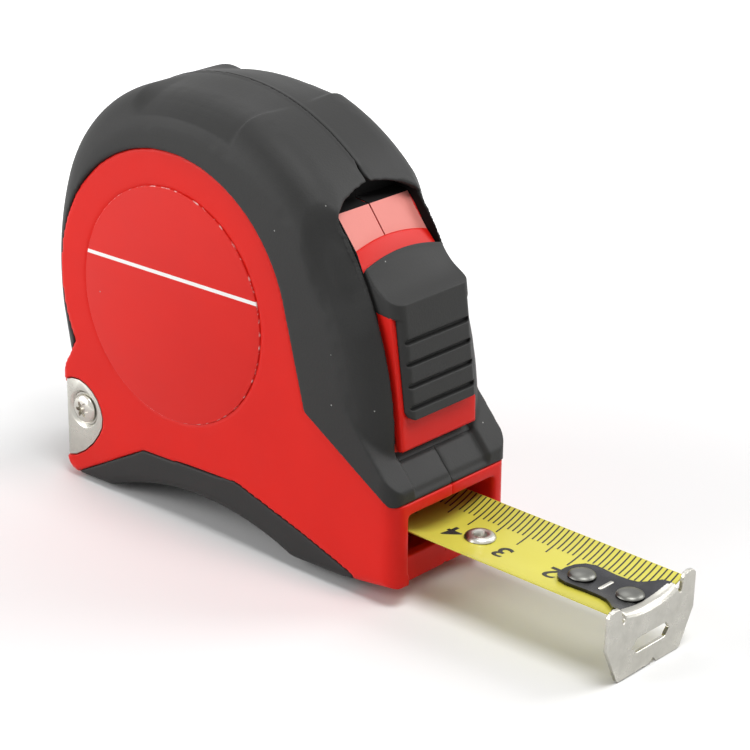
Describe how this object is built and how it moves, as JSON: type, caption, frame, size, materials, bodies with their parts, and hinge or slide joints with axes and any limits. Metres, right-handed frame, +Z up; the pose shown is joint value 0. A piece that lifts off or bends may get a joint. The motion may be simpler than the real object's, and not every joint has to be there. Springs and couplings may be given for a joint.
{
  "type": "tape measure",
  "caption": "Pocket tape measure: red case with black soft grips, sliding thumb lock, sprung spool and a hollow yellow steel blade with a riveted end hook and a belt clip.",
  "frame": {"origin": "on the plane of the base, midway across the case and under the spool's axis", "axes": "+X the way the blade leaves the mouth, +Z up, +Y to the side away from the label that the picture shows"},
  "size_m": [0.1182, 0.0357, 0.0762],
  "materials": {
    "red_shell": "fine moulded satin",
    "soft_grip": "matte moulded",
    "red_label": "printed satin film",
    "inner_plastic": "moulded",
    "spring_steel": "rolled",
    "yellow_blade": "matte coated",
    "bright_steel": "nickel plated"
  },
  "bodies": {
    "case": {"left_shell": "red_shell", "right_shell": "red_shell", "left_grip": "soft_grip", "right_grip": "soft_grip", "left_belly_grip": "soft_grip", "right_belly_grip": "soft_grip", "left_label": "red_label", "right_label": "red_label", "detent_spring": "spring_steel", "blade_lead": "yellow_blade", "spindle": "spring_steel", "belt_clip": "bright_steel", "clip_screws": "bright_steel", "case_screws": "spring_steel"},
    "blade": {"blade": "yellow_blade", "blade_eyelet": "bright_steel", "hook_rivets": "bright_steel"},
    "hook": {"end_hook": "bright_steel"},
    "spool": {"spool": "inner_plastic", "spool_cover": "inner_plastic", "power_spring": "spring_steel", "blade_coil": "yellow_blade"},
    "lock": {"lock_button": "red_shell", "button_pad": "soft_grip", "brake_arm": "inner_plastic"}
  },
  "joints": [
    {"name": "blade_slide", "type": "slide", "parent": "case", "child": "blade", "axis": [0.9995, 0, -0.0325], "range_m": [-0.038, 0.02]},
    {"name": "hook_float", "type": "slide", "parent": "blade", "child": "hook", "axis": [0.9995, 0, -0.0325], "range_m": [0, 0.0008]},
    {"name": "spool_spin", "type": "hinge", "parent": "case", "child": "spool", "pos_m": [0, 0, 0.037], "axis": [0, 1, 0], "range_deg": [-55, 104]},
    {"name": "lock_slide", "type": "slide", "parent": "case", "child": "lock", "axis": [-0.3007, 0, 0.9537], "range_m": [0, 0.0055]}
  ],
  "couplings": [
    {"joint": "spool_spin", "follows": "blade_slide", "rad_per_m": -45.455}
  ]
}
